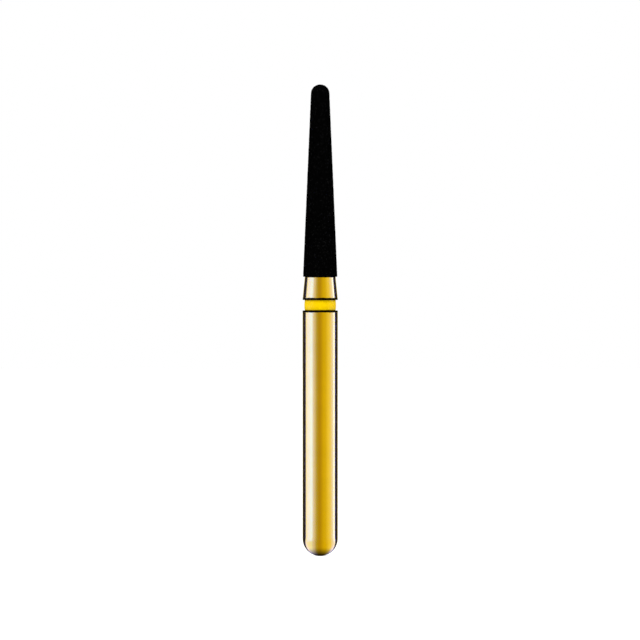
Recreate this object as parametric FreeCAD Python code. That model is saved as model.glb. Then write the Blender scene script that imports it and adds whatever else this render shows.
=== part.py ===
"""Friction-grip dental bur with a tapered, ball-ended diamond head.

The frame has its origin at the bottom of the rounded shank end, with +Z along the axis towards the
tip of the head. Lengths are in millimetres and angles in radians. Every piece is a turned form about Z.

Pieces:
  shank_blank    one turned steel blank: rounded shank end, shank, colour groove, flared collar and
                 the tapered core that runs up inside the head
  colour_band    ring of enamel laid in the groove, a little below the shank's surface
  diamond_coat   closed skin of bonded diamond grit round the core
"""

import FreeCAD, Part
import math
import os

# Shank: the standard friction-grip size, held in a turbine chuck
shank_diameter = 1.60
shank_length = 11.16
edge_break = 0.02

# Groove for the colour code, and the enamel in it, which dries with a slight crown
groove_width = 0.48
groove_depth = 0.18
band_thickness = 0.08
band_crown = 0.02

# Collar: a frustum from the shank's diameter in to the foot of the head's core
collar_length = 1.05

# Head, measured over the diamond
head_length = 8.75
head_base_diameter = 1.555
tip_radius = 0.42
coat_thickness = 0.08

# Places that follow from the sizes
shank_radius = shank_diameter / 2
groove_radius = shank_radius - groove_depth
band_radius = groove_radius + band_thickness
head_base_radius = head_base_diameter / 2
collar_z = shank_length + groove_width
head_z = collar_z + collar_length
tip_z = head_z + head_length
ball_z = tip_z - tip_radius

# The flank runs from the base edge to touch the tip ball, which sets how far it leans from the axis
ball_height = ball_z - head_z
lean = math.acos(tip_radius / math.hypot(head_base_radius, ball_height)) - math.atan2(
    ball_height, head_base_radius
)


def at(radius, z):
    """A point of the turning profile, in the XZ half plane."""
    return FreeCAD.Vector(radius, 0, z)


def line(start, end):
    return Part.LineSegment(start, end).toShape()


def lines(points):
    """Straight edges from each point to the next."""
    return [line(start, end) for start, end in zip(points, points[1:])]


def ball_arc(radius, centre_z, first, last):
    """Arc about a centre on the axis, between two angles above the horizontal."""
    start, middle, end = (
        at(radius * math.cos(angle), centre_z + radius * math.sin(angle))
        for angle in (first, (first + last) / 2, last)
    )
    return Part.Arc(start, middle, end).toShape()


def turn(edges):
    """Closed solid from a profile's edges, revolved about the Z axis."""
    profile = Part.Face(Part.Wire(Part.__sortEdges__(edges)))
    return profile.revolve(FreeCAD.Vector(0, 0, 0), FreeCAD.Vector(0, 0, 1), 360)


def head_foot(inset):
    """Where the head's flank meets the base plane, on a surface this far inside the diamond."""
    return at(head_base_radius - inset / math.cos(lean), head_z)


def head_flank(inset):
    """The head's outline, this far inside the diamond: the leaning flank, then the tip ball."""
    ball = tip_radius - inset
    touch = at(ball * math.cos(lean), ball_z + ball * math.sin(lean))
    return [line(head_foot(inset), touch), ball_arc(ball, ball_z, lean, math.pi / 2)]


def shank_blank():
    """Rounded end, shank, groove with its outer corners broken, collar and core, in one turning."""
    groove_and_collar = [
        at(shank_radius, shank_radius),
        at(shank_radius, shank_length - edge_break),
        at(shank_radius - edge_break, shank_length),
        at(groove_radius, shank_length),
        at(groove_radius, collar_z),
        at(shank_radius - edge_break, collar_z),
        at(shank_radius, collar_z + edge_break),
        head_foot(coat_thickness),
    ]
    rounded_end = ball_arc(shank_radius, shank_radius, -math.pi / 2, 0)
    axis = line(at(0, 0), at(0, tip_z - coat_thickness))
    return turn([rounded_end, *lines(groove_and_collar), *head_flank(coat_thickness), axis])


def colour_band():
    """Ring of enamel from wall to wall of the groove, crowned between them."""
    low, high = at(band_radius, shank_length), at(band_radius, collar_z)
    crest = at(band_radius + band_crown, (shank_length + collar_z) / 2)
    groove_side = [high, at(groove_radius, collar_z), at(groove_radius, shank_length), low]
    return turn([Part.Arc(low, crest, high).toShape(), *lines(groove_side)])


def diamond_coat():
    """Skin of one thickness between the core and the head's outer form, open only at its foot."""
    foot = line(head_foot(coat_thickness), head_foot(0))
    tip = line(at(0, tip_z - coat_thickness), at(0, tip_z))
    return turn([foot, *head_flank(0), tip, *head_flank(coat_thickness)])


pieces = {
    "shank_blank": shank_blank(),
    "colour_band": colour_band(),
    "diamond_coat": diamond_coat(),
}

os.makedirs("parts", exist_ok=True)
for name, shape in pieces.items():
    shape.exportStep(os.path.join("parts", name + ".step"))
    print(name, "volume", round(shape.Volume, 4), "mm3, valid", shape.isValid())
print("overall length", round(tip_z, 3), "mm, flank leans", round(math.degrees(lean), 3), "degrees")
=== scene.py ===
"""Friction-grip dental bur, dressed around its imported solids.

The blank is a gold-plated turning with a domed end, a ring of yellow enamel in its groove, a
flared collar and a core; the head is a black bond layer over the core, set with small crystals.
Everything is in metres in the solids' own frame: Z is the axis, with the domed end at z = 0.
"""

import math

import bpy
import numpy as np
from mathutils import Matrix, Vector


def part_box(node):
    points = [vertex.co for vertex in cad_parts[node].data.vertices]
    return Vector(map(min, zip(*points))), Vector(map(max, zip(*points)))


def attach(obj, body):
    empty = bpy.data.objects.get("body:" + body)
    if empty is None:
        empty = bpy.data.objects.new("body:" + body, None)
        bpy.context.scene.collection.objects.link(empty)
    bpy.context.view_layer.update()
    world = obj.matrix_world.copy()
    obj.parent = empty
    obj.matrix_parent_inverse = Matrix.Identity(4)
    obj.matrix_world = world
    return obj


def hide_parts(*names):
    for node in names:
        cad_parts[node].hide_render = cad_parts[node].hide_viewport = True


bl_info = {
    "name": "Dental Bur",
    "version": (1, 0, 0),
    "blender": (4, 5, 0),
    "location": "View3D > Sidebar > Bur",
    "description": "Builds a friction-grip diamond bur and the pale studio that it stands in",
    "category": "Add Mesh",
}

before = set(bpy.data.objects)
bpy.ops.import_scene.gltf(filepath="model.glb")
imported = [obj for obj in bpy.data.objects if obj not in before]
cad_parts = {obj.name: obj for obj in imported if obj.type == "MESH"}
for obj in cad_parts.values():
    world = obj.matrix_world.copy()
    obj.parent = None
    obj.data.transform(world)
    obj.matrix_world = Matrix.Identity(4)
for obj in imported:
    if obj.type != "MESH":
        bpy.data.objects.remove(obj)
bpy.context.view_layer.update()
_, blank_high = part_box("shank_blank")
band_low, band_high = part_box("colour_band")
coat_low, coat_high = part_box("diamond_coat")

MM = 0.001
BODY = "root"

# How finely the turned surfaces are divided: sides round the axis, steps of an arc, distance of the
# extra points from a straight's ends, and the longest step along a straight
SIDES = 192
BOND_SIDES = 160
ARC_STEP = math.radians(6.0)
SUPPORT = 0.012 * MM
RING_GAP = 0.30 * MM

# A straight shorter than this gets no extra points, and ends closer than this are one point
SHORT_RUN = 3 * SUPPORT
TOUCHING = SUPPORT / 100

# A full turn, in radians
TURN = 2 * math.pi


# Sizes, finishes and studio


class BurSizes(bpy.types.PropertyGroup):
    """Sizes of the bur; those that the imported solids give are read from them."""

    shank_radius: bpy.props.FloatProperty(
        name="Shank radius",
        description="Radius of the plain shank",
        default=blank_high.x,
        unit="LENGTH",
        precision=6,
    )
    edge_break: bpy.props.FloatProperty(
        name="Edge break",
        description="Rounding of the two outer edges of the groove",
        default=0.02 * MM,
        unit="LENGTH",
        precision=6,
    )
    corner: bpy.props.FloatProperty(
        name="Corner rounding",
        description="Rounding left by the tool's nose in the groove and at the collar's top",
        default=0.008 * MM,
        unit="LENGTH",
        precision=6,
    )
    groove_depth: bpy.props.FloatProperty(
        name="Groove depth",
        description="Depth of the groove under the enamel",
        default=0.18 * MM,
        unit="LENGTH",
        precision=6,
    )
    band_crown: bpy.props.FloatProperty(
        name="Enamel crown",
        description="How much higher the middle of the enamel stands than its edges",
        default=0.02 * MM,
        unit="LENGTH",
        precision=6,
    )
    tip_radius: bpy.props.FloatProperty(
        name="Tip radius",
        description="Radius of the ball at the tip, over the crystals",
        default=0.42 * MM,
        unit="LENGTH",
        precision=6,
    )
    coat_thickness: bpy.props.FloatProperty(
        name="Coat thickness",
        description="Thickness of the bond and crystals, square to the flank",
        default=coat_high.z - blank_high.z,
        unit="LENGTH",
        precision=6,
    )
    bond_inset: bpy.props.FloatProperty(
        name="Bond inset",
        description="How far the bond lies below the points of the crystals",
        default=0.018 * MM,
        unit="LENGTH",
        precision=6,
    )
    crystal_pitch: bpy.props.FloatProperty(
        name="Crystal pitch",
        description="Mean distance between neighbouring crystals",
        default=0.046 * MM,
        unit="LENGTH",
        precision=6,
    )
    crystal_size: bpy.props.FloatProperty(
        name="Crystal size",
        description="Mean half width of a crystal",
        default=0.021 * MM,
        unit="LENGTH",
        precision=6,
    )


class BurFinish(bpy.types.PropertyGroup):
    """Colours of the finishes, in linear light."""

    gold: bpy.props.FloatVectorProperty(
        name="Gold",
        description="Colour of the gold plating",
        subtype="COLOR",
        default=(0.70, 0.40, 0.003),
        min=0.0,
        max=1.0,
    )
    gold_rough: bpy.props.FloatProperty(
        name="Gold roughness",
        description="Mean roughness of the plating under its lacquer",
        subtype="FACTOR",
        default=0.10,
        min=0.0,
        max=1.0,
    )
    lacquer_rough: bpy.props.FloatProperty(
        name="Lacquer roughness",
        description="Roughness of the clear lacquer over the plating",
        subtype="FACTOR",
        default=0.22,
        min=0.0,
        max=1.0,
    )
    lacquer_index: bpy.props.FloatProperty(
        name="Lacquer index",
        description="Index of refraction of the lacquer, which sets how strongly it mirrors light",
        default=1.5,
        min=1.0,
        max=4.0,
    )
    enamel: bpy.props.FloatVectorProperty(
        name="Enamel",
        description="Colour of the enamel in the groove",
        subtype="COLOR",
        default=(1.0, 0.66, 0.0008),
        min=0.0,
        max=1.0,
    )
    bond: bpy.props.FloatVectorProperty(
        name="Bond",
        description="Colour of the bond layer between the crystals",
        subtype="COLOR",
        default=(0.0009, 0.0009, 0.0009),
        min=0.0,
        max=1.0,
    )
    crystal: bpy.props.FloatVectorProperty(
        name="Crystal",
        description="Colour of the crystals",
        subtype="COLOR",
        default=(0.0011, 0.0011, 0.0011),
        min=0.0,
        max=1.0,
    )


class BurStudio(bpy.types.PropertyGroup):
    """Camera, floor and lights."""

    lens: bpy.props.FloatProperty(
        name="Lens",
        description="Focal length; a very long lens gives the flat side view",
        default=1000.0,
        unit="CAMERA",
    )
    view_side: bpy.props.FloatProperty(
        name="View side",
        description="Side of the square that the camera sees at the bur",
        default=29.091 * MM,
        unit="LENGTH",
        precision=6,
    )
    eye_height: bpy.props.FloatProperty(
        name="Eye height",
        description="Height of the camera, which looks level",
        default=10.727 * MM,
        unit="LENGTH",
        precision=6,
    )
    eye_side: bpy.props.FloatProperty(
        name="Eye side shift",
        description="How far the camera stands from the bur's axis, to the side",
        default=-0.009 * MM,
        unit="LENGTH",
        precision=6,
    )
    ambient: bpy.props.FloatProperty(
        name="Ambient light",
        description="Strength of the even light from all round",
        default=0.60,
        min=0.0,
    )
    tent_level: bpy.props.FloatProperty(
        name="Tent level",
        description="Scale of the light tent's brightness",
        default=1.0,
        min=0.0,
    )


# Mesh making


def grid_faces(rows, sides, loop):
    """Quads between neighbouring rings of a grid whose rings close on themselves.

    Vertex (i, j) is number i * sides + j. With loop the last ring joins the first one too.
    """
    index = np.arange(rows * sides).reshape(rows, sides)
    beyond = np.roll(index, -1, axis=0) if loop else index[1:]
    index = index if loop else index[:-1]
    quads = [index, np.roll(index, -1, axis=1), np.roll(beyond, -1, axis=1), beyond]
    return np.stack(quads, axis=-1).reshape(-1, 4)


def fan_faces(ring, pole, upward):
    """Triangles from the ring's vertices to one pole vertex, turned to face out of the piece."""
    beyond = np.roll(ring, -1)
    order = [ring, beyond] if upward else [beyond, ring]
    return np.stack([*order, np.full(len(ring), pole)], axis=-1)


def add_piece(name, points, faces, materials):
    """A smooth mesh object at the origin that rides on the bur's body."""
    mesh = bpy.data.meshes.new(name)
    mesh.from_pydata(points.tolist(), [], faces)
    mesh.polygons.foreach_set("use_smooth", np.ones(len(faces), bool))
    mesh.update()
    piece = bpy.data.objects.new(name, mesh)
    bpy.context.scene.collection.objects.link(piece)
    for material in materials:
        mesh.materials.append(material)
    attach(piece, BODY)
    return piece


def ring_points(radius, height, angle):
    """Points (r cos a, r sin a, z) for arrays of radius r, height z and angle a, row by row."""
    grid = np.broadcast_arrays(radius * np.cos(angle), radius * np.sin(angle), height)
    return np.stack(grid, axis=-1).reshape(-1, 3)


def turned(name, profile, materials, closed=False):
    """Surface of revolution: profile point (r, z) goes to (r cos a, r sin a, z) at even angles a.

    An open profile runs from one point on the axis up to another, which become the two poles.
    A closed one is the outline of a ring's section, with its outer side running upwards.
    """
    angle = np.linspace(0, TURN, SIDES, endpoint=False)
    rings = profile if closed else profile[1:-1]
    points = ring_points(rings[:, :1], rings[:, 1:], angle[None, :])
    faces = grid_faces(len(rings), SIDES, closed).tolist()
    if not closed:
        count = len(points)
        poles = [(0, 0, profile[0, 1]), (0, 0, profile[-1, 1])]
        points = np.vstack([points, poles])
        faces += fan_faces(np.arange(SIDES), count, upward=False).tolist()
        faces += fan_faces(np.arange(count - SIDES, count), count + 1, upward=True).tolist()
    return add_piece(name, points, faces, materials)


def arc(centre, radius, first, last):
    """Points c + R (cos t, sin t) of a circle's arc, for even steps of t from first to last."""
    steps = max(2, math.ceil(abs(last - first) / ARC_STEP)) + 1
    turn = np.linspace(first, last, steps)[:, None]
    return np.asarray(centre) + radius * np.hstack([np.cos(turn), np.sin(turn)])


def filleted(corner, before, after, radius):
    """Arc that replaces a corner between two straight runs and touches both.

    It leaves the corner by R tan(half turn) each way, and its centre is square to the first run.
    """
    into = (corner - before) / np.linalg.norm(corner - before)
    out = (after - corner) / np.linalg.norm(after - corner)
    turn = math.atan2(into[0] * out[1] - into[1] * out[0], float(into @ out))
    side = math.copysign(1.0, turn)
    start = corner - into * radius * math.tan(abs(turn) / 2)
    centre = start + side * radius * np.array([-into[1], into[0]])
    first = math.atan2(*(start - centre)[::-1])
    return arc(centre, radius, first, first + turn)


def supported(runs):
    """Joins runs of points, and sets extra points on each straight between them.

    A straight gets a point SUPPORT from either end, so that shading stays flat up to the arcs,
    and points no more than RING_GAP apart in between.
    """
    joined = [runs[0]]
    for run in runs[1:]:
        start, end = joined[-1][-1], run[0]
        length = np.linalg.norm(end - start)
        if length > SHORT_RUN:
            near = SUPPORT / length
            steps = np.linspace(near, 1 - near, 2 + int(length / RING_GAP))[:, None]
            joined.append(start + steps * (end - start))
        skip = 1 if length < TOUCHING else 0
        joined.append(run[skip:])
    return np.vstack(joined)


# Shape of the head


class Head:
    """Outline of the head: a flank from the foot that touches the tip ball, and lines inside it."""

    def __init__(self, sizes):
        self.tip_radius = sizes.tip_radius
        self.foot_radius = coat_high.x
        self.foot = coat_low.z
        self.ball = coat_high.z - sizes.tip_radius
        rise = self.ball - self.foot
        reach = math.hypot(self.foot_radius, rise)
        self.lean = math.acos(sizes.tip_radius / reach) - math.atan2(rise, self.foot_radius)

    def foot_point(self, inset):
        """Where the flank, moved in by the inset, meets the foot's plane."""
        return np.array([self.foot_radius - inset / math.cos(self.lean), self.foot])

    def ball_arc(self, inset):
        """The tip ball from where the flank touches it to the pole, moved in by the inset."""
        return arc((0.0, self.ball), self.tip_radius - inset, self.lean, math.pi / 2)

    def flank_length(self):
        """Length of the straight flank, from the foot to the tip ball."""
        return float(np.linalg.norm(self.ball_arc(0)[0] - self.foot_point(0)))

    def surface(self, along):
        """Point (r, z) and outward normal at distances along the outline from the foot.

        The flank is a straight of constant normal (cos lean, sin lean). Past its end the normal
        turns by distance / R about the ball's centre.
        """
        flank = self.flank_length()
        bend = np.clip((along - flank) / self.tip_radius, 0, None) + self.lean
        normal = np.stack([np.cos(bend), np.sin(bend)], axis=-1)
        on_ball = np.array([0.0, self.ball]) + self.tip_radius * normal
        up = np.array([-math.sin(self.lean), math.cos(self.lean)])
        on_flank = self.foot_point(0) + np.clip(along, None, flank)[..., None] * up
        return np.where((along > flank)[..., None], on_ball, on_flank), normal

    def whole_length(self):
        """Length of the outline from the foot to the pole of the tip."""
        return self.flank_length() + self.tip_radius * (math.pi / 2 - self.lean)


# Shader groups


def new_group(name, inputs, outputs):
    """An empty shader group with float inputs (name: default) and outputs (name: socket type)."""
    group = bpy.data.node_groups.new(name, "ShaderNodeTree")
    for label, value in inputs.items():
        socket = group.interface.new_socket(label, in_out="INPUT", socket_type="NodeSocketFloat")
        socket.default_value = value
    for label, kind in outputs.items():
        group.interface.new_socket(label, in_out="OUTPUT", socket_type=kind)
    return group


class Tree:
    """Short hand for adding and joining the nodes of one tree."""

    def __init__(self, tree):
        self.tree = tree

    def add(self, kind, settings=(), **inputs):
        """A node with its settings, and its inputs given as values or as sockets to join."""
        node = self.tree.nodes.new("ShaderNode" + kind)
        for key, value in dict(settings).items():
            setattr(node, key, value)
        for key, value in inputs.items():
            self.put(node.inputs[key.replace("_", " ")], value)
        return node

    def put(self, socket, value):
        """Joins a socket to this one, or gives it a plain value."""
        if isinstance(value, bpy.types.NodeSocket):
            self.tree.links.new(value, socket)
        else:
            socket.default_value = value

    def math(self, operation, *values):
        """Result of an operation on numbers, given as values or as sockets."""
        node = self.tree.nodes.new("ShaderNodeMath")
        node.operation = operation
        for socket, value in zip(node.inputs, values):
            self.put(socket, value)
        return node.outputs[0]

    def vector(self, operation, *values):
        """The same for vectors and colours, part by part; a number stands for all three parts."""
        node = self.tree.nodes.new("ShaderNodeVectorMath")
        node.operation = operation
        for socket, value in zip(node.inputs, values):
            self.put(socket, (value,) * 3 if isinstance(value, float) else value)
        return node.outputs[0]

    def eased(self, value, low, high):
        """Smooth step of a value from 0 at low to 1 at high."""
        node = self.add("MapRange", {"interpolation_type": "SMOOTHSTEP"}, Value=value)
        self.put(node.inputs["From Min"], low)
        self.put(node.inputs["From Max"], high)
        return node.outputs[0]

    def blend(self, factor, low, high):
        """Colour that goes from low to high as the factor goes from 0 to 1."""
        node = self.tree.nodes.new("ShaderNodeMix")
        node.data_type = "RGBA"
        # Inputs 6 and 7 are the node's two colours, and output 2 is the colour between them
        for number, value in ((0, factor), (6, low), (7, high)):
            self.put(node.inputs[number], value)
        return node.outputs[2]

    def rising(self, mask, base, rise):
        """Value that goes up from the base by the rise as the mask goes from 0 to 1."""
        return self.math("MULTIPLY_ADD", mask, rise, base)

    def relief(self, normal, height, depth):
        """Feeds a shader's Normal from bumps whose full height is the depth."""
        bump = self.add("Bump", Strength=1.0, Distance=depth, Height=height)
        self.put(normal, bump.outputs[0])

    def surface(self, shader, sink="OutputMaterial"):
        """Makes this shader the surface of the material, or of the world."""
        self.put(self.add(sink).inputs["Surface"], shader)

    def group(self, group, **inputs):
        """A placed shader group, with its inputs given as for other nodes."""
        node = self.tree.nodes.new("ShaderNodeGroup")
        node.node_tree = group
        for key, value in inputs.items():
            self.put(node.inputs[key.replace("_", " ")], value)
        return node


def turning_marks():
    """Fine rings round the axis, as a lathe tool or a brush leaves them, with broken lengths.

    Noise is read with Z stretched by the marks' count and X and Y kept long, so that it changes
    quickly along the axis and slowly round it.
    """
    group = new_group(
        "turning_marks",
        {"Marks per mm": 40.0, "Length": 0.6},
        {"Height": "NodeSocketFloat"},
    )
    t = Tree(group)
    source = group.nodes.new("NodeGroupInput").outputs
    place = t.add("TexCoord").outputs["Object"]
    split = t.add("SeparateXYZ", Vector=place).outputs
    fast = t.math("MULTIPLY", split["Z"], t.math("MULTIPLY", source["Marks per mm"], 1 / MM))
    slow = t.math("DIVIDE", 1 / MM, source["Length"])
    cell = t.add(
        "CombineXYZ",
        X=t.math("MULTIPLY", split["X"], slow),
        Y=t.math("MULTIPLY", split["Y"], slow),
        Z=fast,
    ).outputs[0]
    noise = t.add("TexNoise", Vector=cell, Scale=1.0, Detail=2.0, Roughness=0.6).outputs[0]
    t.put(group.nodes.new("NodeGroupOutput").inputs["Height"], noise)
    return group


# Values of the soft noise between which a film's clouds rise from 0 to 1, and how far past the cut
# a speck is full
CLOUD_SPAN = (0.3, 0.7)
SPECK_EDGE = 0.1


def uneven_film():
    """Slow unevenness of a film such as plating, lacquer or enamel, and fine specks on it.

    Cloud is soft noise of a few patches a millimetre and runs from 0 to 1 about its mean. Speck
    is close noise, cut so that only its peaks are left.
    """
    group = new_group(
        "uneven_film",
        {"Patches per mm": 1.2, "Specks per mm": 14.0, "Speck cut": 0.62},
        {"Cloud": "NodeSocketFloat", "Speck": "NodeSocketFloat"},
    )
    t = Tree(group)
    source = group.nodes.new("NodeGroupInput").outputs
    place = t.add("TexCoord").outputs["Object"]
    patches = t.math("MULTIPLY", source["Patches per mm"], 1 / MM)
    specks = t.math("MULTIPLY", source["Specks per mm"], 1 / MM)
    cloud = t.add("TexNoise", Vector=place, Scale=patches, Detail=3.0, Roughness=0.5).outputs[0]
    close = t.add("TexNoise", Vector=place, Scale=specks, Detail=1.0, Roughness=0.5).outputs[0]
    cut = source["Speck cut"]
    sink = group.nodes.new("NodeGroupOutput").inputs
    t.put(sink["Cloud"], t.eased(cloud, *CLOUD_SPAN))
    t.put(sink["Speck"], t.eased(close, cut, t.math("ADD", cut, SPECK_EDGE)))
    return group


# Waves per metre of the noise that a stain's edge wavers with, and that noise's mean
WAVER_SCALE = 6 / MM
WAVER_MEAN = 0.5


def painted_seam_shade():
    """Painted shade: a dark line at two seams of the bur, such as the shoulders of the groove,
    where shade falls.

    The mask is 1 within the core share of the given reach from a seam's height, falls to 0 at the
    reach itself, along Z, and wavers with noise round the axis.
    """
    group = new_group(
        "painted_seam_shade",
        {"Low seam": 0.0, "High seam": 0.0, "Reach": 0.03 * MM, "Core": 0.5, "Waver": 0.4},
        {"Mask": "NodeSocketFloat"},
    )
    t = Tree(group)
    source = group.nodes.new("NodeGroupInput").outputs
    place = t.add("TexCoord").outputs["Object"]
    z = t.add("SeparateXYZ", Vector=place).outputs["Z"]
    low = t.math("ABSOLUTE", t.math("SUBTRACT", z, source["Low seam"]))
    high = t.math("ABSOLUTE", t.math("SUBTRACT", z, source["High seam"]))
    near = t.math("DIVIDE", t.math("MINIMUM", low, high), source["Reach"])
    noise = t.add("TexNoise", Vector=place, Scale=WAVER_SCALE, Detail=2.0).outputs[0]
    swing = t.math("MULTIPLY", t.math("SUBTRACT", noise, WAVER_MEAN), source["Waver"])
    clean = t.eased(t.math("ADD", near, swing), source["Core"], 1.0)
    mask = t.math("SUBTRACT", 1.0, clean)
    t.put(group.nodes.new("NodeGroupOutput").inputs["Mask"], mask)
    return group


def shared(maker):
    """The group that this maker builds, made the first time it is asked for."""
    return bpy.data.node_groups.get(maker.__name__) or maker()


# Finishes


# Colour of the painted shade on the groove's shoulders, under the head and along the enamel's edges
PAINTED_SHADE = (0.003, 0.002, 0.001, 1.0)

# Tint of the metal where it is seen at a low angle
GOLD_EDGE = (1.0, 0.8, 0.3, 1.0)

# Tint of the weak gloss on enamel and crystals, in which the cool soft boxes stay neutral
WARM_SHINE = (1.0, 0.75, 0.06, 1.0)

# How much the plating's roughness varies with the turning marks and the film's clouds, and how much
# it rises on the painted shade lines
MARK_RISE, CLOUD_RISE, SHADE_LINE_RISE = 0.07, 0.03, 0.5

# Kinds of crystal: lightness against the crystals' colour, roughness, weak gloss, and share of all
# the stones
CRYSTALS = {
    "crystal_dark": (0.6, 0.45, 0.0, 0.50),
    "crystal_mid": (1.3, 0.38, 0.0, 0.41),
    "crystal_clear": (10.0, 0.30, 0.004, 0.09),
}


def bare_tree(owner):
    """The tree of a material or of the world, emptied of its first nodes."""
    owner.use_nodes = True
    owner.node_tree.nodes.clear()
    return Tree(owner.node_tree)


def new_material(name):
    """A material with one Principled shader, and the tree to add to."""
    material = bpy.data.materials.new(name)
    t = bare_tree(material)
    shader = t.add("BsdfPrincipled")
    t.surface(shader.outputs[0])
    return material, t, shader.inputs


def shaded(colour, factor):
    """A colour made lighter or darker by a factor, with alpha 1."""
    return (*(min(1.0, part * factor) for part in colour), 1.0)


def film_colour(t, film, colour, tones, speck_tone, speck_share=1.0):
    """Colour that goes between two tones with a film's clouds, and to a third one on its specks."""
    tone = t.blend(film.outputs["Cloud"], *(shaded(colour, factor) for factor in tones))
    speck = t.math("MULTIPLY", film.outputs["Speck"], speck_share)
    return t.blend(speck, tone, shaded(colour, speck_tone))


def seam_mask(t, low, high, reach, core):
    """Mask of the painted shade lines along the seams at two heights."""
    lines = t.group(shared(painted_seam_shade), Low_seam=low, High_seam=high, Reach=reach, Core=core)
    return lines.outputs["Mask"]


def gold_plate(finish):
    """Bright gold plating over fine turning marks, under a thin clear lacquer.

    Painted shade darkens it in thin lines, on both shoulders of the groove and right under the
    head.
    """
    material, t, sockets = new_material("gold_plate")
    film = t.group(shared(uneven_film), Patches_per_mm=0.9, Specks_per_mm=16.0, Speck_cut=0.66)
    marks = t.group(shared(turning_marks), Marks_per_mm=45.0, Length=0.7).outputs["Height"]
    # Painted shade: dark lines on the groove's shoulders and under the head's overhang
    shoulders = seam_mask(t, band_low.z, band_high.z, reach=0.105 * MM, core=0.75)
    under_head = seam_mask(t, coat_low.z, coat_low.z, reach=0.040 * MM, core=0.5)
    dark = t.math("MAXIMUM", shoulders, under_head)
    plating = film_colour(
        t, film, finish.gold, tones=(0.97, 1.03), speck_tone=0.72, speck_share=0.18
    )
    t.put(sockets["Base Color"], t.blend(dark, plating, PAINTED_SHADE))
    least = finish.gold_rough - (MARK_RISE + CLOUD_RISE) / 2
    grain = t.rising(marks, base=least, rise=MARK_RISE)
    patchy = t.rising(film.outputs["Cloud"], base=grain, rise=CLOUD_RISE)
    t.put(sockets["Roughness"], t.rising(dark, base=patchy, rise=SHADE_LINE_RISE))
    t.relief(sockets["Normal"], marks, depth=0.00025 * MM)
    sockets["Metallic"].default_value = 1.0
    sockets["Specular Tint"].default_value = GOLD_EDGE
    t.put(sockets["Coat Weight"], t.math("SUBTRACT", 1.0, dark))
    sockets["Coat Roughness"].default_value = finish.lacquer_rough
    sockets["Coat IOR"].default_value = finish.lacquer_index
    return material


def yellow_enamel(finish):
    """Fired colour, a little uneven, with painted shade in a dark line where it meets the groove's
    walls.
    """
    material, t, sockets = new_material("yellow_enamel")
    film = t.group(shared(uneven_film), Patches_per_mm=3.0, Specks_per_mm=30.0, Speck_cut=0.64)
    # Painted shade along the enamel's edges, where the groove's walls meet it
    edges = seam_mask(t, band_low.z, band_high.z, reach=0.025 * MM, core=0.3)
    fired = film_colour(
        t, film, finish.enamel, tones=(0.94, 1.0), speck_tone=0.6, speck_share=0.10
    )
    t.put(sockets["Base Color"], t.blend(edges, fired, PAINTED_SHADE))
    t.put(sockets["Roughness"], t.rising(film.outputs["Cloud"], base=0.30, rise=0.08))
    t.relief(sockets["Normal"], film.outputs["Cloud"], depth=0.0008 * MM)
    sockets["Specular IOR Level"].default_value = 0.05
    sockets["Specular Tint"].default_value = WARM_SHINE
    return material


def black_bond(finish):
    """Black metal bond between the crystals, dull and pitted."""
    material, t, sockets = new_material("black_bond")
    film = t.group(shared(uneven_film), Patches_per_mm=9.0, Specks_per_mm=40.0, Speck_cut=0.55)
    metal = film_colour(t, film, finish.bond, tones=(0.6, 1.6), speck_tone=3.0)
    t.put(sockets["Base Color"], metal)
    t.put(sockets["Roughness"], t.rising(film.outputs["Cloud"], base=0.55, rise=0.2))
    t.relief(sockets["Normal"], film.outputs["Cloud"], depth=0.002 * MM)
    sockets["Specular IOR Level"].default_value = 0.0
    return material


def crystal_finishes(finish):
    """One material for each kind of crystal, even over each stone."""
    materials = []
    for name, (lightness, roughness, gloss, _) in CRYSTALS.items():
        material, _, sockets = new_material(name)
        sockets["Base Color"].default_value = shaded(finish.crystal, lightness)
        sockets["Roughness"].default_value = roughness
        sockets["Specular IOR Level"].default_value = gloss
        sockets["Specular Tint"].default_value = WARM_SHINE
        materials.append(material)
    return materials


# Pieces


class BUR_OT_blank(bpy.types.Operator):
    """Turns the blank: domed end, shank, groove, collar and the core inside the head"""

    bl_idname = "bur.blank"
    bl_label = "Turned Blank"

    def execute(self, context):
        sizes, head = context.scene.bur_sizes, Head(context.scene.bur_sizes)
        shank, floor = sizes.shank_radius, sizes.shank_radius - sizes.groove_depth
        low, high = band_low.z, band_high.z
        inset = sizes.coat_thickness
        core_ball = head.ball_arc(inset)
        # Corners (r, z) of the profile, from the edge of the domed end up to the core's tip ball,
        # with the groove between the two heights and the collar above it
        corners = np.array(
            [
                (shank, shank),
                (shank, low),
                (floor, low),
                (floor, high),
                (shank, high),
                head.foot_point(inset),
                core_ball[0],
            ]
        )
        rounding = [sizes.edge_break, sizes.corner, sizes.corner, sizes.edge_break, sizes.corner]
        runs = [arc((0.0, shank), shank, -math.pi / 2, 0.0)]
        for before, corner, after, radius in zip(corners, corners[1:], corners[2:], rounding):
            runs.append(filleted(corner, before, after, radius))
        profile = supported([*runs, core_ball])
        blank = turned("blank", profile, [gold_plate(context.scene.bur_finish)])
        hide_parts("shank_blank")
        return {"FINISHED"}


class BUR_OT_band(bpy.types.Operator):
    """Lays the ring of enamel in the groove, crowned between its walls"""

    bl_idname = "bur.band"
    bl_label = "Colour Band"

    crown_points = 41

    def execute(self, context):
        sizes = context.scene.bur_sizes
        floor = sizes.shank_radius - sizes.groove_depth
        half = (band_high.z - band_low.z) / 2
        across = np.linspace(-1.0, 1.0, self.crown_points)
        # The crown is so flat that a parabola through its edges and its crest stands for the arc
        radius = band_high.x - sizes.band_crown * across**2
        outer = np.stack([radius, band_low.z + half * (1 + across)], axis=-1)
        inner = np.array([(floor, band_high.z), (floor, band_low.z)])
        profile = np.vstack([outer, inner])
        finish = [yellow_enamel(context.scene.bur_finish)]
        band = turned("band", profile, finish, closed=True)
        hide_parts("colour_band")
        return {"FINISHED"}


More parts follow.
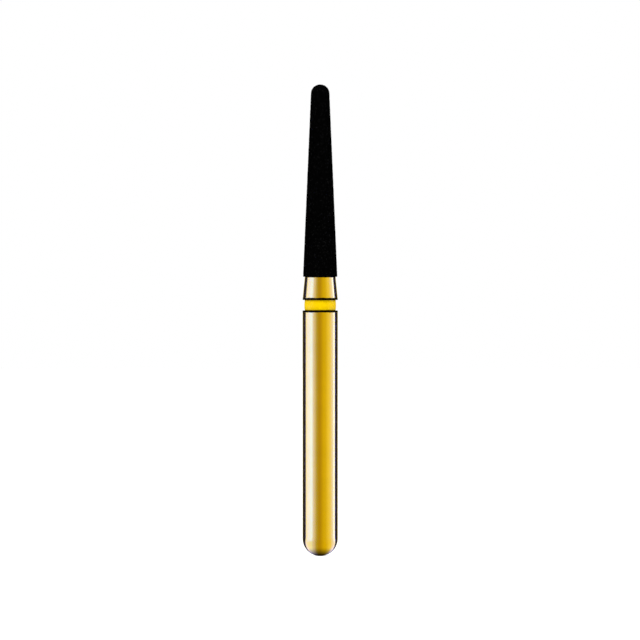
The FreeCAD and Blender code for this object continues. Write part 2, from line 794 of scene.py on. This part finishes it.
class BUR_OT_bond(bpy.types.Operator):
    """Plates the bond layer round the core, with a gentle wavy unevenness"""

    bl_idname = "bur.bond"
    bl_label = "Bond Layer"

    seed = 11
    rings = 240
    # The lining has one ring for each of this many rings outside
    lining_step = 8
    foot_round = 0.010 * MM
    # Waves of the surface: how many, the ranges of their counts round the axis and of their radians
    # per mm up the head, their height, and how near to the pole they begin to fade out
    waves = 9
    turn_range = (3, 40)
    climb_range = (2.0, 22.0)
    unevenness = 0.003 * MM
    pole_fade = 0.15 * MM

    def execute(self, context):
        sizes, head = context.scene.bur_sizes, Head(context.scene.bur_sizes)
        rng = np.random.default_rng(self.seed)
        along = np.linspace(self.foot_round, head.whole_length(), self.rings)[:-1]
        angle = np.linspace(0, TURN, BOND_SIDES, endpoint=False)
        point, normal = head.surface(along)
        # Unevenness: a sum of waves sin(k a + m s + phase), of whole k so that the rings close
        turns = rng.integers(*self.turn_range, self.waves)
        climbs = rng.uniform(*self.climb_range, self.waves) / MM
        phase = rng.uniform(0, TURN, self.waves)
        wave = np.sin(
            turns * angle[None, :, None] + climbs * along[:, None, None] + phase
        ).mean(axis=-1)
        fade = np.clip((head.whole_length() - along) / self.pole_fade, 0, 1)[:, None]
        lift = self.unevenness * wave * fade - sizes.bond_inset
        radius = point[:, :1] + lift * normal[:, :1]
        height = point[:, 1:] + lift * normal[:, 1:]
        outside = ring_points(radius, height, angle[None, :])
        # Inside: the core's own surface, from just under the pole back down to the foot
        inset = sizes.coat_thickness
        step = self.lining_step
        lining = point[::-step] - inset * normal[::-step]
        foot_in = head.foot_point(inset)
        foot_out = head.foot_point(sizes.bond_inset + self.foot_round)
        ends = np.vstack([lining, [foot_in], [foot_out]])
        inside = ring_points(ends[:, :1], ends[:, 1:], angle[None, :])
        points = np.vstack([outside, inside])
        count = BOND_SIDES
        rows = len(points) // count
        faces = grid_faces(rows, count, loop=True)
        # The join of the outer grid's last ring to the lining's first is replaced by two poles
        join = (len(along) - 1) * count
        faces = np.delete(faces, np.arange(join, join + count), axis=0).tolist()
        poles = [(0, 0, coat_high.z - sizes.bond_inset), (0, 0, coat_high.z - inset)]
        total = len(points)
        points = np.vstack([points, poles])
        last = np.arange(join, join + count)
        faces += fan_faces(last, total, upward=True).tolist()
        faces += fan_faces(last + count, total + 1, upward=False).tolist()
        finish = [black_bond(context.scene.bur_finish)]
        bond = add_piece("bond", points, faces, finish)
        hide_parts("diamond_coat")
        return {"FINISHED"}


class BUR_OT_crystals(bpy.types.Operator):
    """Sets the head with thousands of eight-sided crystals, each turned its own way"""

    bl_idname = "bur.crystals"
    bl_label = "Crystals"

    seed = 7
    # Parts of the pitch: from the foot to the first row, between rows, and the random shift
    first_row = 0.6
    row_step = 0.87
    scatter = 0.32
    # How far the farthest corners stand proud of the flank, and the most that they are set back
    proud = 0.010 * MM
    recess = 0.007 * MM
    # Spread of the half widths, and the least and the most of them against the mean
    size_spread = 0.28
    size_limits = (0.5, 1.5)

    def execute(self, context):
        sizes, head = context.scene.bur_sizes, Head(context.scene.bur_sizes)
        rng = np.random.default_rng(self.seed)
        pitch = sizes.crystal_pitch
        # Rows a little closer than the pitch up the outline, each with as many stones as fit round
        edge = self.first_row * pitch
        rows = np.arange(edge, head.whole_length(), self.row_step * pitch)
        row_point, _ = head.surface(rows)
        counts = np.maximum(1, np.round(TURN * row_point[:, 0] / pitch)).astype(int)
        row = np.repeat(np.arange(len(rows)), counts)
        place = np.arange(len(row)) - np.repeat(np.cumsum(counts) - counts, counts)
        step = TURN / counts[row]
        angle = (place + rng.uniform(0, 1, len(rows))[row]) * step
        angle += rng.uniform(-self.scatter, self.scatter, len(row)) * step
        along = rows[row] + rng.uniform(-self.scatter, self.scatter, len(row)) * pitch
        along = np.clip(along, edge, head.whole_length())
        point, normal = head.surface(along)
        out = ring_points(normal[:, 0], normal[:, 1], angle)
        centre = ring_points(point[:, 0], point[:, 1], angle)
        count = len(row)
        # A random turn for each stone: the Q of a random matrix's QR parts
        axes, _ = np.linalg.qr(rng.normal(size=(count, 3, 3)))
        axes[np.linalg.det(axes) < 0, 0] *= -1
        half = sizes.crystal_size * np.exp(rng.normal(0, self.size_spread, (count, 3)))
        half = np.clip(half, *(limit * sizes.crystal_size for limit in self.size_limits))
        arms = axes * half[:, :, None]
        # The farthest corner stands a little proud of the flank, less a random recess, so that the
        # stones' mean outline is the head's own, and nothing stands proud of the tip
        reach = np.abs(np.einsum("nij,nj->ni", arms, out)).max(axis=1)
        lift = self.proud * normal[:, 0] - rng.uniform(0, self.recess, count)
        centre += out * (lift - reach)[:, None]
        drop = np.abs(arms[:, :, 2]).max(axis=1)
        centre[:, 2] = np.maximum(centre[:, 2], head.foot + drop)
        # A stone's corners are its centre plus and minus each of three arms, square to each other:
        # 0 and 1 are the ends of the first arm, 2 and 3 of the second, 4 and 5 of the third
        corners = np.stack([arms, -arms], axis=2).reshape(count, 6, 3) + centre[:, None, :]
        shape = np.array(
            [(0, 2, 4), (2, 1, 4), (1, 3, 4), (3, 0, 4), (2, 0, 5), (1, 2, 5), (3, 1, 5), (0, 3, 5)]
        )
        faces = (np.arange(count)[:, None, None] * 6 + shape).reshape(-1, 3)
        finish = crystal_finishes(context.scene.bur_finish)
        points = corners.reshape(-1, 3)
        stones = add_piece("crystals", points, faces.tolist(), finish)
        kind = rng.choice(len(finish), size=count, p=[share for *_, share in CRYSTALS.values()])
        stones.data.polygons.foreach_set("material_index", np.repeat(kind, len(shape)))
        stones.data.polygons.foreach_set("use_smooth", np.zeros(len(faces), bool))
        stones.data.update()
        return {"FINISHED"}


# Studio


# The studio's front is at -Y, where the camera stands, and its angles run from there towards +X.
# Light of the tent round the bur: angle in degrees, and red, green and blue. Cool soft boxes stand
# at the left and, slimmer, at the right, with a warm card in front of the bur, dimmest just left of
# the camera. Behind the bur, a warm card stands between two dark flags, which darken the metal's
# rims
TENT_STOPS = (
    (-180, 0.85, 0.76, 0.04),
    (-165, 0.85, 0.76, 0.04),
    (-157, 0.03, 0.03, 0.03),
    (-112, 0.03, 0.03, 0.03),
    (-104, 1.45, 1.95, 7.0),
    (-84, 1.35, 1.93, 13.0),
    (-60, 1.30, 2.26, 19.0),
    (-40, 1.00, 1.19, 4.6),
    (-20, 0.64, 0.69, 0.08),
    (-6, 0.62, 0.53, 0.02),
    (30, 0.94, 0.92, 0.02),
    (60, 1.21, 1.30, 0.70),
    (90, 1.20, 1.55, 7.0),
    (106, 2.05, 3.00, 17.0),
    (114, 0.03, 0.03, 0.03),
    (157, 0.03, 0.03, 0.03),
    (165, 0.85, 0.76, 0.04),
    (180, 0.85, 0.76, 0.04),
)

# Radii over which the tent's floor goes from a painted shadow of the bur's foot to a calm light,
# and from that to its own light, and the strongest colours of the calm light
TENT_FOOT_SHADOW = (0.15 * MM, 1.0 * MM)
TENT_NEAR = (1.5 * MM, 6.0 * MM)
TENT_CALM = (1.4, 1.75, 6.0)

# Colour of the floor, and how much brighter the camera sees it
FLOOR_COLOUR = (0.90, 0.90, 0.90, 1.0)
FLOOR_LIFT = 0.30


def tent_glow(level):
    """Light of the tent by the angle round the axis.

    Its floor carries the same light as its wall, but is dark right under the bur, a painted shadow
    of the bur's foot, and calm close round the foot.
    """
    material = bpy.data.materials.new("tent_glow")
    t = bare_tree(material)
    place = t.add("TexCoord").outputs["Object"]
    # A radial gradient starts at -X, and is turned to start behind the bur
    quarter = t.add("Mapping", Vector=place, Rotation=(0, 0, TURN / 4)).outputs[0]
    round_axis = t.add("TexGradient", {"gradient_type": "RADIAL"}, Vector=quarter)
    ramp = t.add("ValToRGB", Fac=round_axis.outputs["Fac"])
    stops = ramp.color_ramp
    stops.interpolation = "EASE"
    peak = max(max(light) for _, *light in TENT_STOPS)
    for number, (angle, *light) in enumerate(TENT_STOPS):
        spot = 0.5 + angle / 360
        # A new ramp has two stops, which become the first two
        if number < 2:
            stop = stops.elements[number]
            stop.position = spot
        else:
            stop = stops.elements.new(spot)
        stop.color = (*(part / peak for part in light), 1.0)
    flat = t.vector("MULTIPLY", place, (1.0, 1.0, 0.0))
    out = t.add("VectorMath", {"operation": "LENGTH"}, Vector=flat).outputs["Value"]
    # The dark middle of the floor is a painted shadow of the bur's foot
    under, away = t.eased(out, *TENT_FOOT_SHADOW), t.eased(out, *TENT_NEAR)
    bright = t.vector("MULTIPLY", ramp.outputs["Color"], level * peak)
    calm = t.vector("MINIMUM", bright, tuple(level * part for part in TENT_CALM))
    rest = t.vector("MULTIPLY", t.vector("SUBTRACT", bright, calm), away)
    light = t.vector("MULTIPLY", t.vector("ADD", calm, rest), under)
    t.surface(t.add("Emission", Color=light, Strength=1.0).outputs[0])
    return material


def stage_object(name, points, faces, material):
    """A mesh object of the studio, which isn't part of the bur."""
    mesh = bpy.data.meshes.new(name)
    mesh.from_pydata(points.tolist(), [], faces)
    mesh.materials.append(material)
    thing = bpy.data.objects.new(name, mesh)
    bpy.context.scene.collection.objects.link(thing)
    return thing


def floor_finish():
    """Pale matt floor; the camera sees it a little lifted, so that only its shadows are grey."""
    material = bpy.data.materials.new("pale_floor")
    t = bare_tree(material)
    matt = t.add("BsdfDiffuse", Color=FLOOR_COLOUR)
    seen = t.add("LightPath").outputs["Is Camera Ray"]
    lift = t.add("Emission", Strength=t.math("MULTIPLY", seen, FLOOR_LIFT))
    both = t.add("AddShader")
    t.put(both.inputs[0], matt.outputs[0])
    t.put(both.inputs[1], lift.outputs[0])
    t.surface(both.outputs[0])
    return material


class BUR_OT_studio(bpy.types.Operator):
    """Sets up the pale floor, the light tent, the lamps, the white world and the level camera"""

    bl_idname = "bur.studio"
    bl_label = "Studio"

    floor_half = 3.0
    # Radii of the tent's floor: its hole, a ring round the foot, and its wall
    tent_radii = (0.05 * MM, 1.5 * MM, 45.0 * MM)
    tent_height = 70.0 * MM
    tent_lift = 0.002 * MM
    # Lamps far off: name, angle from the front, angle of height, share of white, softness
    lamps = (
        ("key_light", -42.0, 40.0, 0.36, 35.0),
        ("fill_light", 50.0, 45.0, 0.28, 50.0),
    )
    # Camera: width of its sensor in mm, and the nearest that it sees, as a part of the bur's
    # distance, and the farthest, in metres
    sensor = 36.0
    near_part = 0.01
    far_clip = 20.0

    def execute(self, context):
        studio = context.scene.bur_studio
        self.lay_floor()
        self.hang_tent(studio.tent_level)
        self.light_up(context.scene, studio.ambient)
        self.place_camera(context.scene, studio)
        context.scene.view_settings.view_transform = "Standard"
        return {"FINISHED"}

    def lay_floor(self):
        """A large pale square that the bur stands on."""
        h = self.floor_half
        corners = np.array([(-h, -h, 0), (h, -h, 0), (h, h, 0), (-h, h, 0)], float)
        stage_object("floor", corners, [(0, 1, 2, 3)], floor_finish())

    def hang_tent(self, level):
        """A round wall and its floor, seen only in reflections."""
        floor = [(radius, self.tent_lift) for radius in self.tent_radii]
        profile = np.array([*floor, (self.tent_radii[-1], self.tent_height)])
        angle = np.linspace(0, TURN, SIDES, endpoint=False)
        points = ring_points(profile[:, :1], profile[:, 1:], angle[None, :])
        faces = grid_faces(len(profile), SIDES, loop=False).tolist()
        tent = stage_object("light_tent", points, faces, tent_glow(level))
        for kind in ("camera", "diffuse", "transmission", "volume_scatter", "shadow"):
            setattr(tent, "visible_" + kind, False)

    def light_up(self, scene, ambient):
        """Two soft lamps, and a world that is white where it is seen and dimmer as a light."""
        for name, side, rise, share, softness in self.lamps:
            lamp = bpy.data.lights.new(name, "SUN")
            lamp.energy = share * math.pi
            lamp.angle = math.radians(softness)
            thing = bpy.data.objects.new(name, lamp)
            thing.rotation_euler = (math.radians(90 - rise), 0, math.radians(side))
            thing.visible_glossy = False
            scene.collection.objects.link(thing)
        world = bpy.data.worlds.new("white_world")
        scene.world = world
        t = bare_tree(world)
        rays = t.add("LightPath").outputs
        seen = t.math("MAXIMUM", rays["Is Camera Ray"], rays["Is Glossy Ray"])
        seen = t.math("MAXIMUM", seen, rays["Is Transmission Ray"])
        strength = t.rising(seen, base=ambient, rise=1.0 - ambient)
        sky = t.add("Background", Color=(1.0, 1.0, 1.0, 1.0), Strength=strength)
        t.surface(sky.outputs[0], sink="OutputWorld")

    def place_camera(self, scene, studio):
        """A level camera with a very long lens, far enough off to see the square it should."""
        camera = bpy.data.cameras.new("camera")
        camera.lens = studio.lens
        camera.sensor_width = self.sensor
        camera.clip_end = self.far_clip
        camera.dof.use_dof = False
        distance = studio.view_side * studio.lens / camera.sensor_width
        camera.clip_start = distance * self.near_part
        eye = bpy.data.objects.new("camera", camera)
        eye.location = (studio.eye_side, -distance, studio.eye_height)
        eye.rotation_euler = (math.pi / 2, 0, 0)
        scene.collection.objects.link(eye)
        scene.camera = eye


# Panel, registering and making


class BUR_PT_panel(bpy.types.Panel):
    """Sizes, finishes and steps of the bur"""

    bl_idname = "BUR_PT_panel"
    bl_label = "Dental Bur"
    bl_space_type = "VIEW_3D"
    bl_region_type = "UI"
    bl_category = "Bur"

    def draw(self, context):
        """Lists the steps, and then each group's sizes and colours."""
        for step in STEPS:
            self.layout.operator(step.bl_idname)
        for key in GROUPS:
            box = self.layout.box()
            group = getattr(context.scene, key)
            for name in group.bl_rna.properties.keys():
                if name not in ("rna_type", "name"):
                    box.prop(group, name)


STEPS = (BUR_OT_studio, BUR_OT_blank, BUR_OT_band, BUR_OT_bond, BUR_OT_crystals)
GROUPS = {"bur_sizes": BurSizes, "bur_finish": BurFinish, "bur_studio": BurStudio}


def register():
    """Adds the classes, and the groups of sizes and colours to the scene."""
    for kind in (*GROUPS.values(), *STEPS, BUR_PT_panel):
        bpy.utils.register_class(kind)
    for key, kind in GROUPS.items():
        setattr(bpy.types.Scene, key, bpy.props.PointerProperty(type=kind))


def unregister():
    """Takes out what register adds, in the opposite order."""
    for key in GROUPS:
        delattr(bpy.types.Scene, key)
    for kind in (BUR_PT_panel, *reversed(STEPS), *reversed(GROUPS.values())):
        bpy.utils.unregister_class(kind)


def main():
    """Makes the studio and the pieces."""
    register()
    bpy.ops.bur.studio()
    bpy.ops.bur.blank()
    bpy.ops.bur.band()
    bpy.ops.bur.bond()
    bpy.ops.bur.crystals()


if __name__ == "__main__":
    main()
